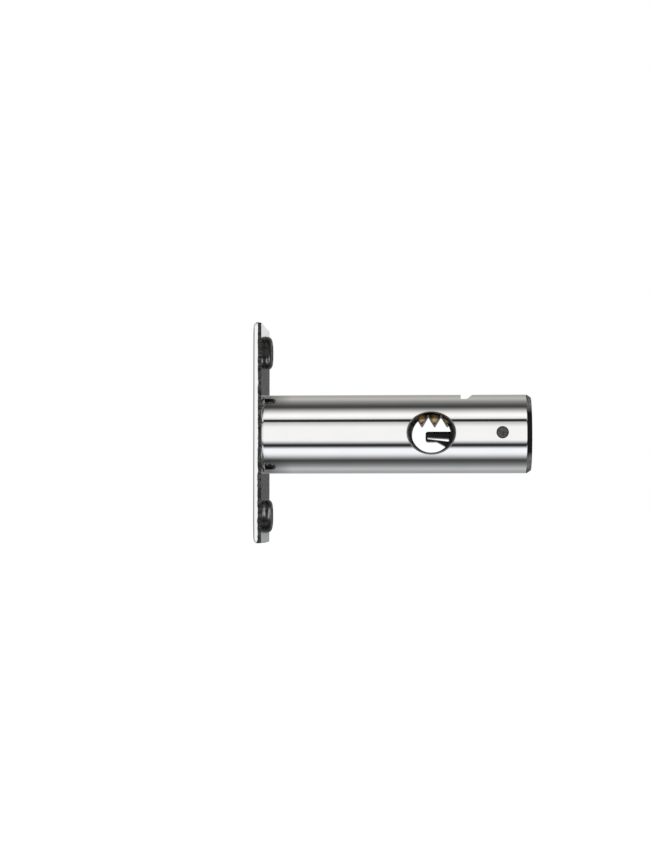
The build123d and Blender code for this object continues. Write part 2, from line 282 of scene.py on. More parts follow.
even = (1, 1, 1)
looks = {
    # bright nickel plate: a polished mirror with faint drawing lines along the barrel and cloudy wear; a
    # painted dark reflection of the countersink drums lies on the barrel behind the plate, above and below
    "brightNickel": {
        "grains": {"clouds": ((0.5, 1, 1), 0.35), "wear": ((0.2, 1, 1), 1.2), "lines": ((0.06, 1, 1), 9.0)},
        "base": (0.965, 0.962, 0.958),
        "layers": [((0.93, 0.93, 0.932), ("clouds", 0, 1)),
                   # painted dark reflection of the countersink drums, on the barrel behind the plate, above
                   # and below
                   ((0.34, 0.34, 0.345), None, ("|Z|", 5.2, 7.4), ("X", 1.9, 2.1), ("X", 8.0, 3.2))],
        "inputs": {"Roughness": ("wear", 0.025, 0.055)}, "bumps": [("lines", 0.0005)],
    },
    # back of the plate: the same plating over the sheet's own skin, with slow waves and small pits
    "backNickel": {
        "grains": {"waves": (even, 0.4), "pits": (even, 6.0)},
        "base": (0.86, 0.86, 0.87), "layers": [((0.66, 0.66, 0.67), ("waves", 0, 1))],
        "inputs": {"Roughness": ("pits", 0.03, 0.14)}, "bumps": [("pits", 0.0012), ("waves", 0.012)],
    },
    # pressed countersinks: drawn steel under thin plating, with fine scratches that run down each cone; each
    # cone is painted near black as shade and painted bright towards -y as light; the bright side is dull, the
    # dark side mirrors
    "drawnNickelPaintedLight": {
        "grains": {},
        "base": (0.03, 0.03, 0.031), "layers": [((1.0, 1.0, 1.0), ("bright", 0, 1, 0, 1))],
        "inputs": {"Roughness": ("scratches", 0.2, 0.42), "Metallic": ("side", 1.0, 0.35, 0, 0.9)},
        "bumps": [("scratches", 0.006)],
    },
    # drums of the countersinks, seen from behind: painted near black for the dark they mirror, with light
    # streaks as painted highlights, except towards the barrel
    "drumPaintedLight": {
        "grains": {"streaks": ((1, 0.16, 0.16), 1.5, 2.0), "grit": (even, 5.0)},
        # painted: the near black base stands in for dark reflections, the light streaks are painted
        # highlights
        "base": (0.04, 0.04, 0.04),
        "layers": [((0.5, 0.5, 0.51), ("streaks", 0, 1, 0.5, 0.62)),
                   ((0.05, 0.05, 0.05), None, ("|Y|", 3.2, 2.4))],
        "inputs": {"Roughness": ("grit", 0.2, 0.34)}, "bumps": [("streaks", 0.006)],
    },
    # cut and torn steel: dark and streaked across the sheet's thickness
    "tornSteel": {
        "grains": {"streaks": ((0.25, 1, 1), 4.0, 4.0, 0.6), "specks": (even, 9.0)},
        "base": (0.02, 0.02, 0.021), "layers": [((0.17, 0.17, 0.175), ("streaks", 0, 1, 0.45, 0.72))],
        "inputs": {"Roughness": ("specks", 0.3, 0.6)}, "bumps": [("streaks", 0.03)],
    },
    # walls of the bore and the keyhole: thin dark plating over a pierced wall
    "boreSteel": {
        "grains": {"grit": (even, 5.0, 4.0)},
        "base": (0.16, 0.157, 0.155), "layers": [((0.4, 0.395, 0.39), ("grit", 0, 1))],
        "inputs": {"Roughness": ("grit", 0.25, 0.45)}, "bumps": [("grit", 0.01)],
    },
    # turned brass: ripples round the face and round the shank, left by the tool
    "turnedBrass": {
        "grains": {"clouds": ((0.4, 1, 1), 0.8)},
        "base": (0.87, 0.67, 0.4), "layers": [((0.85, 0.645, 0.375), ("clouds", 0, 1))],
        "inputs": {"Roughness": ("clouds", 0.1, 0.17)}, "bumps": [("ripples", 0.0025)],
    },
    # inside the turning centre: the same brass, darker and browner, in stains
    "brownCentreBrass": {
        "grains": {"stains": (even, 1.3), "marks": ((6, 1, 1), 2.0)},
        "base": (0.3, 0.18, 0.09), "layers": [((0.6, 0.42, 0.24), ("stains", 0, 1))],
        "inputs": {"Roughness": ("marks", 0.24, 0.38)}, "bumps": [("marks", 0.0012)],
    },
    # rack: brass where the cutter went across, painted dark brown as shade at the tips, the roots and beside
    # each gap, and painted lit, in stains, in the middle of each tooth's flank
    "rackBrassPaintedShade": {
        "grains": {"stains": ((1, 0.6, 1), 0.9), "cuts": ((1, 0.08, 1), 7.0)},
        "base": (0.075, 0.045, 0.022),
        # painted shade: dark brown at the tooth tips, the roots and beside each gap; lit brass only mid-flank
        "layers": [((0.86, 0.62, 0.33), ("stains", 0.35, 1.2),
                    ("Z", 2.0, 2.6), ("Z", 4.2, 3.4), ("fromGap", 0.5, 1.25))],
        "inputs": {"Roughness": ("stains", 0.2, 0.36)}, "bumps": [("cuts", 0.006)],
    },
    # black nylon: half gloss, with the soft unevenness of a moulding
    "blackNylon": {
        "grains": {"clouds": (even, 0.9), "skin": (even, 4.0)},
        "base": (0.004, 0.004, 0.004), "layers": [((0.012, 0.012, 0.011), ("clouds", 0, 1))],
        "inputs": {"Metallic": 0.0, "IOR": 1.22, "Roughness": ("clouds", 0.14, 0.28)},
        "bumps": [("skin", 0.003)],
    },
    # rim of the end cap: the same nylon, with painted highlights in grey streaks above and below
    "nylonPaintedHighlights": {
        "grains": {"scratches": ((3, 0.4, 0.4), 2.0, 4.0)},
        "base": (0.004, 0.004, 0.004),
        # painted highlights: grey streaks in bands above and below the rim's middle
        "layers": [((0.2, 0.2, 0.2), ("scratches", 0.1, 1), ("|Z|", 4.3, 5.6), ("|Z|", 8.4, 7.2))],
        "inputs": {"Metallic": 0.0, "IOR": 1.22, "Roughness": ("scratches", 0.2, 0.4)},
        "bumps": [("scratches", 0.002)],
    },
    # steel pin: dark, speckled where it was sheared
    "darkSteel": {
        "grains": {"specks": (even, 7.0, 4.0, 0.7)},
        "base": (0.01, 0.01, 0.01), "layers": [((0.22, 0.215, 0.2), ("specks", 0, 1, 0.42, 0.66))],
        "inputs": {"Metallic": 0.8, "Roughness": ("specks", 0.3, 0.5)}, "bumps": [("specks", 0.02)],
    },
    # drawn wire of the spring
    "springWire": {
        "grains": {"clouds": (even, 5.0)},
        "base": (0.45, 0.45, 0.46), "layers": [((0.3, 0.3, 0.31), ("clouds", 0, 1))],
        "inputs": {"Roughness": ("clouds", 0.25, 0.4)}, "bumps": [],
    },
}


def makeFinish(name, more=None):
    look = looks[name]
    finish, tree, shader = newFinish(name, {"Metallic": 1.0})
    values = partsOf(tree, ownPlace(tree))
    values.update({kind: grain(tree, *numbers) for kind, numbers in look["grains"].items()})
    if more:
        values.update(more(tree, values))
    colour = look["base"]
    for layer, pattern, *ramps in look["layers"]:
        share = shareOf(tree, values, ramps, mm)
        if pattern:
            share = maths(tree, "MULTIPLY", share, spread(tree, values[pattern[0]], *pattern[1:]))
        colour = blendColours(tree, share, colour, layer)
    tree.links.new(colour, shader.inputs["Base Color"])
    for socket, value in look["inputs"].items():
        if isinstance(value, tuple):
            tree.links.new(spread(tree, values[value[0]], *value[1:]), shader.inputs[socket])
        else:
            shader.inputs[socket].default_value = value
    normal = None
    for pattern, depth in look["bumps"]:
        normal = emboss(tree, values[pattern], depth, normal)
        tree.links.new(normal, shader.inputs["Normal"])
    return finish


coneLook = {
    "axisHeight": 18.25,
    "perRadian": 22.0, "perMillimetre": 0.6,  # scratches round a cone and down it
    "scratchShare": 0.25,  # how much they brighten it
    # the cones' brightening across y is painted light
    "paintedLightFrom": 1.2, "paintedLightFull": -2.9,  # y where a cone starts to brighten, and where it is brightest
    "paintedLightMost": 0.9,
}


def coneScratchesAndPaintedLight(tree, values):
    # scratches: noise on the angle about the nearer countersink's axis, which is at y = 0, |z| = axisHeight
    c = coneLook
    up = maths(tree, "SUBTRACT", values["|Z|"], c["axisHeight"] * mm)
    turn = maths(tree, "MULTIPLY", maths(tree, "ARCTAN2", up, values["Y"]), c["perRadian"])
    down = maths(tree, "MULTIPLY", values["X"], c["perMillimetre"] / mm)
    polar = addNode(tree, "CombineXYZ", {"X": turn, "Y": down, "Z": values["Z"]}).outputs[0]
    scratches = addNode(tree, "TexNoise", {"Vector": polar, "Scale": 1.0, "Detail": 4.0}).outputs["Fac"]
    # painted light: each cone is painted brighter towards -y, less metallic there, and its scratches add to
    # that
    side = spread(tree, values["Y"], 0, c["paintedLightMost"], c["paintedLightFrom"] * mm, c["paintedLightFull"] * mm)
    bright = maths(tree, "ADD", side, spread(tree, scratches, 0, c["scratchShare"]))
    return {"scratches": scratches, "side": side, "bright": bright}


rippleLook = {
    "pitch": 0.16, "distortion": 0.6,
    "centreDepth": 2.6,  # how much deeper the ripples are near the centre, inside the groove of the face
    "centreRadii": (3.9, 4.6),  # radii where that starts to fade and where it has faded
}


def toolRipples(tree, values):
    # rings on the face and bands along the shank
    r = rippleLook
    perMetre = 1 / (r["pitch"] * mm) / 3.2  # the texture repeats about 3.2 times per unit
    common = {"Vector": ownPlace(tree), "Scale": perMetre, "Distortion": r["distortion"], "Detail": 2.0,
              "Detail Scale": 3.0}
    rings = addNode(tree, "TexWave", common, wave_type="RINGS", rings_direction="X").outputs["Fac"]
    bands = addNode(tree, "TexWave", common, wave_type="BANDS", bands_direction="X").outputs["Fac"]
    flat = addNode(tree, "CombineXYZ", {"Y": values["Y"], "Z": values["Z"]}).outputs[0]
    radius = addNode(tree, "VectorMath", {0: flat}, operation="LENGTH").outputs["Value"]
    deeper = spread(tree, radius, r["centreDepth"], 1, *[v * mm for v in r["centreRadii"]])
    return {"ripples": maths(tree, "MULTIPLY", maths(tree, "ADD", rings, bands), deeper)}


def rackPlace(tree, values):
    # distance along X from the middle of the nearest gap between teeth
    along = maths(tree, "SUBTRACT", values["X"], rackTeeth["firstRoot"] * mm)
    return {"fromGap": maths(tree, "PINGPONG", along, rackTeeth["pitch"] / 2 * mm)}


nickel, rearNickel = makeFinish("brightNickel"), makeFinish("backNickel")
sinkNickel, drumSteel = makeFinish("drawnNickelPaintedLight", coneScratchesAndPaintedLight), makeFinish("drumPaintedLight")
torn, bore = makeFinish("tornSteel"), makeFinish("boreSteel")
brass, brownBrass = makeFinish("turnedBrass", toolRipples), makeFinish("brownCentreBrass")
rackBrass = makeFinish("rackBrassPaintedShade", rackPlace)
nylon, rimNylon = makeFinish("blackNylon"), makeFinish("nylonPaintedHighlights")
pinSteel, wire = makeFinish("darkSteel"), makeFinish("springWire")
print("finishes made")

# Barrel: a tube whose mouth is swaged out, notched for the plate's tabs and relieved behind the plate

barrel = {
    "length": 59.9, "outerRadius": 8.75, "boreRadius": 7.25,
    "mouthChamfer": 0.4, "edgeBreak": 0.12,
    "swageRadius": 8.87, "swageRound": 0.4, "swageLength": 0.9,
    "reliefRadius": 8.5, "reliefEnd": 2.05,
    "notchWidth": 2.6, "notchDepth": 1.6,
    "segments": 192, "notchColumns": 5,  # columns each side of the top and bottom that a notch takes
    "plainRings": (5.0, 31.0, 3.0),  # x of the rings before the keyhole: first, limit and spacing
}
# holes through both walls; each sits in a window of the tube's grid, which reaches this far and this many
# columns to each side of it, and its outer lip is wider by lowLip at the bottom
keyhole = {"x": 38.95, "radius": 4.4, "flare": 0.87, "lip": 0.17, "lowLip": 0.14, "window": 6.3,
           "columns": 24}
pinHole = {"x": 54.5, "radius": 1.27, "flare": 0.0, "lip": 0.1, "lowLip": 0.0, "window": 2.4, "columns": 8}
dent = {"x": 45.45, "depth": 1.16, "floor": 1.15, "ramp": 1.7, "rings": 12}


def dentTop(x, wallRadius):
    # height of the pressed floor: flat, then a smooth climb 3s^2 - 2s^3 back to the wall
    s = np.clip((x - dent["x"] - dent["floor"]) / dent["ramp"], 0, 1)
    return wallRadius - dent["depth"] * (1 - s * s * (3 - 2 * s))


def holeWall(hole, side, outerRim, innerRim):
    # the wall round a pierced hole, in rings: the outer skin from the window's edge in to the hole, its
    # lip, the flare, the straight part and the inner skin; a skin point lies at y = side sqrt(R^2 - z^2)
    outerR, innerR = barrel["outerRadius"], barrel["boreRadius"]
    radius, innerLip = hole["radius"], hole["lip"]
    slope = hole["flare"] / (outerR - innerR)

    def polar(rim):
        away = rim[:, [0, 2]] - np.array([hole["x"], 0.0])
        return away, np.arctan2(away[:, 1], away[:, 0])

    def ring(r, t, y):
        return np.stack([hole["x"] + r * np.cos(t), side * y, r * np.sin(t)], axis=1)

    def onSkin(flat, wallRadius):
        y = side * np.sqrt(wallRadius ** 2 - flat[:, 1] ** 2)
        return np.stack([hole["x"] + flat[:, 0], y, flat[:, 1]], axis=1)

    outerAway, outerT = polar(outerRim)
    innerAway, innerT = polar(innerRim)
    edge = radius + 0 * outerT
    for _ in range(30):  # where the flaring hole meets the round wall, by repeated substitution
        outerY = np.sqrt(outerR ** 2 - (edge * np.sin(outerT)) ** 2)
        edge = radius + slope * np.maximum(outerY - innerR, 0)
    outerY = np.sqrt(outerR ** 2 - (edge * np.sin(outerT)) ** 2)
    innerY = np.sqrt(innerR ** 2 - (radius * np.sin(innerT)) ** 2)
    lip = innerLip + hole["lowLip"] * np.maximum(-np.sin(outerT), 0) ** 2
    outerStart = (edge + lip)[:, None] * around(outerT)
    innerStart = (radius + innerLip) * around(innerT)
    steps = (1.0, 0.72, 0.5, 0.32, 0.18, 0.08, 0.0)
    skin = [onSkin(outerStart + s * (outerAway - outerStart), outerR) for s in steps]
    lipRings = [skin[-1], ring(edge + 0.3 * lip, outerT, outerY - 0.3 * lip),
                ring(edge - slope * lip, outerT, outerY - lip)]
    wall = [lipRings[-1], ring(radius, outerT, np.minimum(innerR, outerY - lip)),
            ring(radius, innerT, innerY + innerLip),
            ring(radius + 0.5 * innerLip, innerT, innerY + 0.1 * innerLip), onSkin(innerStart, innerR)]
    inside = [onSkin(innerStart + s * (innerAway - innerStart), innerR) for s in reversed(steps)]
    return [tube(skin)] + [tube(rings, 1) for rings in (lipRings, wall, inside)]


def makeBarrel():
    b = barrel
    outerR, innerR, deep = b["outerRadius"], b["boreRadius"], b["notchDepth"]
    mouthR, swageR, roundR = innerR + b["mouthChamfer"], b["swageRadius"], b["swageRound"]
    swageEnd, reliefR, reliefEnd = b["swageLength"], b["reliefRadius"], b["reliefEnd"]
    soft = 0.03  # softening of the mouth's edges
    nose = [(deep, innerR), (b["mouthChamfer"], innerR), (soft, mouthR - soft), (0, mouthR + soft)]
    nose += bend((roundR, swageR - roundR), roundR, 180, 90, 10).tolist()
    nose += [(swageEnd / 2, swageR), (swageEnd, outerR), (swageEnd, reliefR), (deep, reliefR)]
    notchRows = len(nose)
    nose += [(reliefEnd - (outerR - reliefR), reliefR), (reliefEnd, outerR)]
    dentEnd = dent["x"] + dent["floor"] + dent["ramp"]

    def windowLines(hole):
        return hole["x"] + np.linspace(-hole["window"], hole["window"], hole["columns"] + 1)

    edge, end = b["edgeBreak"], b["length"]
    lines = np.concatenate([  # x of each ring of the tube
        np.arange(*b["plainRings"]), windowLines(keyhole), [dent["x"]],
        np.linspace(dent["x"], dentEnd, dent["rings"]), [dentEnd + 2], windowLines(pinHole), [end - 1.5],
    ])
    rear = [(end - edge, outerR), (end - 0.3 * edge, outerR - 0.3 * edge), (end, outerR - edge)]
    rear += [(end, innerR + edge), (end - edge, innerR)]
    rows = np.array(nose + [(x, outerR) for x in lines] + rear + [(x, innerR) for x in lines[::-1]])
    outerRow = np.arange(len(lines)) + len(nose)
    innerRow = len(rows) - 1 - np.arange(len(lines))

    columns = b["segments"]
    angle = np.broadcast_to(np.arange(columns) * 2 * math.pi / columns, (len(rows), columns)).copy()
    top, bottom, wide = columns // 4, 3 * columns // 4, b["notchColumns"]
    halfNotch = np.arcsin(b["notchWidth"] / 2 / rows[:notchRows, 1])
    for middle in (top, bottom):
        centre = middle * 2 * math.pi / columns
        angle[:notchRows, middle - wide] = centre - halfNotch
        angle[:notchRows, middle + wide] = centre + halfNotch
    x = rows[:, :1] + 0 * angle
    y, z = rows[:, 1:] * np.cos(angle), rows[:, 1:] * np.sin(angle)
    afterStep = np.flatnonzero(lines == dent["x"])[1]  # the second of two lines at the sheared step
    for row in (outerRow, innerRow):
        pressed = row[afterStep:afterStep + dent["rings"]]
        z[pressed] = np.minimum(z[pressed], dentTop(x[pressed], rows[pressed[0], 1]))
    points = np.stack([x, y, z], axis=-1)

    keep = np.ones((len(rows), columns), bool)
    for middle in (top, bottom):
        keep[:notchRows - 1, middle - wide:middle + wide] = False
    patches = []
    for hole in (keyhole, pinHole):
        first = int(np.flatnonzero(np.isclose(lines, hole["x"] - hole["window"]))[0])
        last, half = first + hole["columns"], hole["columns"]
        for side, middle in ((1, 0), (-1, columns // 2)):
            across = np.arange(middle - half, middle + half + 1) % columns
            keep[np.ix_(outerRow[first:last], across[:-1])] = False
            keep[np.ix_(innerRow[first + 1:last + 1], across[:-1])] = False
            run = np.arange(first, last + 1)
            # round the window: along, across, back along and back across
            alongRim = np.concatenate([run, [last] * (2 * half), run[::-1][1:], [first] * (2 * half - 1)])
            there, back = ([column] * (len(run) - 1) for column in across[[0, -1]])
            acrossRim = np.concatenate([there, across, back, across[::-1][1:-1]])
            rims = [points[row[alongRim], acrossRim] for row in (outerRow, innerRow)]
            patches += holeWall(hole, side, *rims)
    quads = gridFaces(len(rows), columns, closed=True, loop=True)
    isInside = rows[:, 1] == innerR
    inBore = isInside & np.roll(isInside, -1)
    inBore[1] = True  # the mouth's chamfer
    marks = inBore[:, None] & keep
    for mark in (0, 1):
        patches.append((points.reshape(-1, 3), quads[keep & (marks == mark)], mark))
    for middle in (top, bottom):
        floor = points[[notchRows - 1, 0]][:, middle - wide:middle + wide + 1]
        patches.append(sheet(floor, mark=2))
        for column in (middle - wide, middle + wide):
            patches.append((points[:notchRows, column], [list(range(notchRows))], 1))
    piece = makePiece("barrelTube", patches, [nickel, bore, torn])
    settleNormals(piece, walls=(outerR, innerR))
    seat(piece, "barrel", "case")


makeBarrel()

# Faceplate: stamped sheet, rounded at the front, torn at the back, with pressed countersinks and two tabs

plate = {
    "width": 22.0, "height": 48.5, "thickness": 1.8, "corner": 0.7,
    "sideSteps": (110, 240),  # points along a short and a long side
    "frontRound": 0.55, "endRoll": 0.85,  # how far in the front's rounding reaches, at the sides and the ends
    "cornerRoll": 1.7,  # what it adds to the radius of the corners
    "endDeeper": 0.2, "endFrom": 18.0,  # how much deeper it grows, from this height on
    "tornRows": 8, "tornFrom": 1.05,  # x where the torn edge starts
    "tornWander": 0.2, "lowWander": 0.16,  # how far that wanders, and how much more towards the bottom
    "tornTaper": 0.12, "tornDepth": 0.09,
    "screwSpacing": 36.5, "screwHoleRadius": 1.95, "countersinkRadius": 3.9,
    "dimpleRadius": 3.75, "dimpleHeight": 1.55, "dimpleRound": 1.2, "dimpleFoot": 0.18, "segments": 128,
    "seatRadius": 8.77, "swageSeatRadius": 8.89, "swageLength": 0.9,
    "tabHalfWidth": 1.28, "tabTip": 8.1, "tabRound": 2.2, "tabLength": 1.6,
    "edge": 0.06,
}


def plateOutline(insetY, insetZ, corner):
    # rounded rectangle as (y, z) points and their outward directions: four quarter turns, then straight runs
    points, outward = [], []
    halfY, halfZ = plate["width"] / 2 - insetY - corner, plate["height"] / 2 - insetZ - corner
    centres = [(halfY, halfZ), (-halfY, halfZ), (-halfY, -halfZ), (halfY, -halfZ)]
    arcs = [bend((0, 0), 1, 90 * q, 90 * q + 90, 12) for q in range(4)]
    for q in range(4):
        start = np.array(centres[q]) + corner * arcs[q]
        end = np.array(centres[(q + 1) % 4]) + corner * arcs[(q + 1) % 4][0]
        share = np.linspace(0, 1, plate["sideSteps"][q % 2])[1:-1, None]
        points += [start, start[-1] + share * (end - start[-1])]
        outward += [arcs[q], np.repeat(arcs[q][-1:], len(share), axis=0)]
    return np.concatenate(points), np.concatenate(outward)


def roughness(rows, columns):
    # torn surface, 0 to 1: random heights smoothed along the edge over short and long stretches
    def smooth(values, reach):
        return sum(np.roll(values, s, axis=1) for s in range(-reach, reach + 1)) / (2 * reach + 1)

    fine = smooth(random.random((rows, columns)), 1)
    coarse = smooth(random.random((1, columns)), 4)
    mixed = 0.5 * fine + 0.5 * (coarse - coarse.min()) / (coarse.max() - coarse.min())
    return (mixed - mixed.min()) / (mixed.max() - mixed.min())


def plateHole(radius, grow, tabs=True):
    # the barrel's hole as (y, z) points: the circle, broken at top and bottom by a tab with a round tip
    half, tip = plate["tabHalfWidth"] - grow, plate["tabRound"] - grow
    circle = radius + grow
    gap, reach = (math.degrees(math.asin(half / r)) for r in (circle, tip))
    tipZ = plate["tabTip"] + plate["tabRound"]
    right = bend((0, 0), circle, gap - 90, 90 - gap, 90)
    if tabs:
        side = np.linspace(right[-1], (half, tipZ - math.sqrt(tip ** 2 - half ** 2)), 4)[1:]
        tipArc = bend((0, tipZ), tip, reach - 90, -reach - 90, 17)[1:-1]
        tab = np.concatenate([side, tipArc, side[::-1] * (-1, 1)])
    else:
        tab = bend((0, 0), circle, 90 - gap, 90 + gap, 23)[1:-1]
    rightAndTop = np.concatenate([right, tab])
    return np.concatenate([rightAndTop, -rightAndTop])


def makeFaceplate():
    p = plate
    outline, outward = plateOutline(0, 0, p["corner"])

    def edgeRing(x, inset):
        inset = np.broadcast_to(inset, len(outline))[:, None]
        flat = outline - inset * outward
        return np.column_stack([np.broadcast_to(x, len(flat)), flat])

    def rolledRing(t):
        # quarter ellipse from the front face (t = 0) to the wall; deeper towards the ends by 3s^2 - 2s^3
        inward, deep = 1 - math.sin(t), 1 - math.cos(t)
        corner = p["corner"] + p["cornerRoll"] * inward
        flat = plateOutline(p["frontRound"] * inward, p["endRoll"] * inward, corner)[0]
        s = np.clip((abs(flat[:, 1]) - p["endFrom"]) / (p["height"] / 2 - p["endFrom"]), 0, 1)
        x = (p["frontRound"] + p["endDeeper"] * s * s * (3 - 2 * s)) * deep
        return np.column_stack([x, flat])

    front = [rolledRing(t) for t in np.radians(np.linspace(0, 90, 13))]
    jag = roughness(p["tornRows"], len(outline))
    tornEdge = []
    wander = (p["tornWander"] + p["lowWander"] * (0.5 - outline[:, 1] / p["height"])) * (jag[0] - 0.5)
    for row, u in enumerate(np.linspace(0, 1, p["tornRows"])):
        x = p["tornFrom"] + (p["thickness"] - p["tornFrom"]) * u + (wander if row == 0 else 0)
        tornEdge.append(edgeRing(x, p["tornTaper"] * u + p["tornDepth"] * jag[row] * min(1, 3 * u)))
    patches = [tube(front + tornEdge[:1]), tube(tornEdge, 1)]

    wideR, seatR = p["swageSeatRadius"], p["seatRadius"]
    tabEnd, backX, edge = p["tabLength"], p["thickness"], p["edge"]
    # rings of the barrel's hole: x, radius, how far the edge is broken, and whether the tabs stand there
    holeRings = [(0, wideR, edge, True), (0.3 * edge, wideR, 0.3 * edge, True), (edge, wideR, 0, True),
                 (p["swageLength"] / 2, wideR, 0, True), (p["swageLength"], seatR, 0, True),
                 (tabEnd, seatR, 0, True), (tabEnd, seatR, 0, False), (backX - edge, seatR, 0, False),
                 (backX, seatR, edge, False)]
    rings = [np.insert(plateHole(r, grow, tabs), 0, x, axis=1) for x, r, grow, tabs in holeRings]
    patches.append(tube(rings))

    holeR, sinkR, drumR = p["screwHoleRadius"], p["countersinkRadius"], p["dimpleRadius"]
    drumX, drumRound, foot = backX + p["dimpleHeight"], p["dimpleRound"], p["dimpleFoot"]
    coneDepth, soft = sinkR - holeR, 0.04
    sink = [(0, sinkR + edge), (0.3 * edge, sinkR - 0.05 * edge), (edge, sinkR - edge)]
    sink += [(coneDepth - soft, holeR + soft), (coneDepth + 1.5 * soft, holeR)]
    sink += [(drumX - edge, holeR), (drumX, holeR + edge)]
    drum = bend((drumX - drumRound, drumR - drumRound), drumRound, 0, 90, 16).tolist()
    drum += bend((backX + foot, drumR + foot), foot, -90, -180, 6).tolist()
    circle = around(np.linspace(0, 2 * math.pi, p["segments"], endpoint=False))
    frontLoops, backLoops = [front[0][:, 1:], rings[0][:, 1:]], [tornEdge[-1][:, 1:], rings[-1][:, 1:]]
    for z in (p["screwSpacing"] / 2, -p["screwSpacing"] / 2):
        for turned, mark in ((sink[:3], 0), (sink[2:], 3), ([sink[-1]] + drum, 4)):
            patches.append(lathe(turned, p["segments"], (0, 0, z), mark=mark))
        frontLoops.append(circle * sink[0][1] + (0, z))
        backLoops.append(circle * drum[-1][1] + (0, z))
    patches += [flatFace(0, frontLoops), flatFace(backX, backLoops, mark=2)]
    piece = makePiece("facePlate", patches, [nickel, torn, rearNickel, sinkNickel, drumSteel])
    settleNormals(piece, flats=(0, backX, drumX))
    seat(piece, "faceplate", "case")


makeFaceplate()

# Bolt: a turned bar; behind the shank its lower half is cut away to a rack, and its top is flat at the rear

bolt = {
    "radius": 7.2, "faceX": 1.0, "noseChamfer": 0.55,
    "centreRadius": 1.8, "centreAngle": 60,
    "rimWidth": 0.3, "rimDepth": 0.02,
    "grooveRadius": 3.85, "grooveWidth": 0.55, "grooveDepth": 0.035,
    "shankRing": 12.0, "shankEnd": 33.0,
    "rearX": 59.3, "rearChamfer": 0.3,
    "flatFrom": 45.35, "flatZ": 5.94,
}
barColumns = {"low": 14, "side": 28, "high": 12}


def barRing(x, r, low=None, high=None, lowSplit=0.0, highSplit=1.0):
    # section of a round bar at x: y = r cos a, z = r sin a, flattened below z = low and above z = high;
    # the splits are the angles where the flats would start, so that rings with and without them match
    def stretch(part, start, end, level=None):
        a = np.linspace(start, end, barColumns[part] + 1)
        if level is None:
            return r * around(a)
        y = np.linspace(r * math.cos(start), r * math.cos(end), len(a))
        return np.stack([y, level + 0 * y], axis=1)

    lowAngle = lowSplit if low is None else math.asin(low / r)
    highAngle = highSplit if high is None else math.asin(high / r)
    under = stretch("low", -math.pi / 2, lowAngle, low)
    over = stretch("high", highAngle, math.pi / 2, high)
    right = np.concatenate([under, stretch("side", lowAngle, highAngle)[1:], over[1:]])
    whole = np.concatenate([right, right[-2:0:-1] * (-1, 1)])
    return np.insert(whole, 0, x, axis=1)


def ladder(ring, mark=0):
    # closes a ring that is its own mirror image in Y, with strips across
    count = len(ring)
    j = np.arange(1, count // 2 - 1)
    quads = np.stack([j, j + 1, count - j - 1, count - j], axis=1).tolist()
    quads += [[0, 1, count - 1], [count // 2 - 1, count // 2, count // 2 + 1]]
    return ring, quads, mark


def rackOutline():
    # underside of the rack as (x, z) points, tooth tips at tipZ and roots higher up
    halfMouth, halfRoot = (rackTeeth["pitch"] - rackTeeth["tipFlat"]) / 2, rackTeeth["rootFlat"] / 2
    roots = rackTeeth["firstRoot"] + rackTeeth["pitch"] * np.arange(rackTeeth["gaps"])[:, None]
    x = roots + np.array([-halfMouth, -halfRoot, halfRoot, halfMouth])
    z = rackTeeth["tipZ"] + rackTeeth["depth"] * np.array([0.0, 1, 1, 0]) + 0 * x
    return x.ravel(), z.ravel()


def makeBolt():
    b = bolt
    r, faceX, centreR, chamfer = b["radius"], b["faceX"], b["centreRadius"], b["noseChamfer"]
    rimX, rimR, grooveHalf = faceX + b["rimDepth"], centreR + b["rimWidth"], b["grooveWidth"] / 2
    tipX = rimX + centreR / math.tan(math.radians(b["centreAngle"] / 2))
    split = {"lowSplit": math.asin(rackTeeth["tipZ"] / r), "highSplit": math.asin(b["flatZ"] / r)}
    soft = 0.04
    nose = [(tipX, 0), (rimX, centreR), (faceX + soft, rimR - soft), (faceX, rimR + soft)]
    across = np.linspace(-1, 1, 9)  # groove: depth falls off as (1 + cos pi s) / 2
    hollow = faceX + b["grooveDepth"] * (1 + np.cos(math.pi * across)) / 2
    nose += np.stack([hollow, b["grooveRadius"] + grooveHalf * across], axis=1).tolist()
    nose += [(faceX, r - chamfer - soft), (faceX + soft, r - chamfer + 0.3 * soft)]
    nose += [(faceX + chamfer - soft, r - 0.7 * soft), (faceX + chamfer + soft, r)]
    nose += [(b["shankRing"], r), (b["shankEnd"], r)]
    rings = [barRing(x, radius, **split) for x, radius in nose]
    rackX, rackZ = rackOutline()
    flank = np.concatenate([np.linspace(rackX[k], rackX[k + 1], 4)[1:-1] for k in range(0, len(rackX), 2)])
    chamferX = b["rearX"] - b["rearChamfer"]
    stations = np.unique(np.concatenate([[b["shankEnd"]], rackX, flank, [b["flatFrom"], chamferX]]))
    for x in stations:
        low = float(np.interp(x, rackX, rackZ))
        if x == b["flatFrom"]:
            rings.append(barRing(x, r, low=low, highSplit=split["highSplit"]))
        flatTop = b["flatZ"] if x >= b["flatFrom"] else None
        rings.append(barRing(x, r, low=low, high=flatTop, highSplit=split["highSplit"]))
    rings.append(barRing(b["rearX"], r - b["rearChamfer"], low=rackTeeth["tipZ"], high=b["flatZ"]))
    shank = len(nose)
    patches = [tube(rings[:2], 1), tube(rings[1:shank]), tube(rings[shank - 1:], 2), ladder(rings[-1], 2)]
    piece = makePiece("rackBolt", patches, [brass, brownBrass, rackBrass], sharpFrom=22)
    settleNormals(piece, walls=(r,), flats=(faceX, b["shankEnd"], b["flatFrom"], b["rearX"]))
    seat(piece, "bolt", "bolt")


makeBolt()

# End cap: a bevelled black rim on a spigot that carries the finger, its pin and its spring

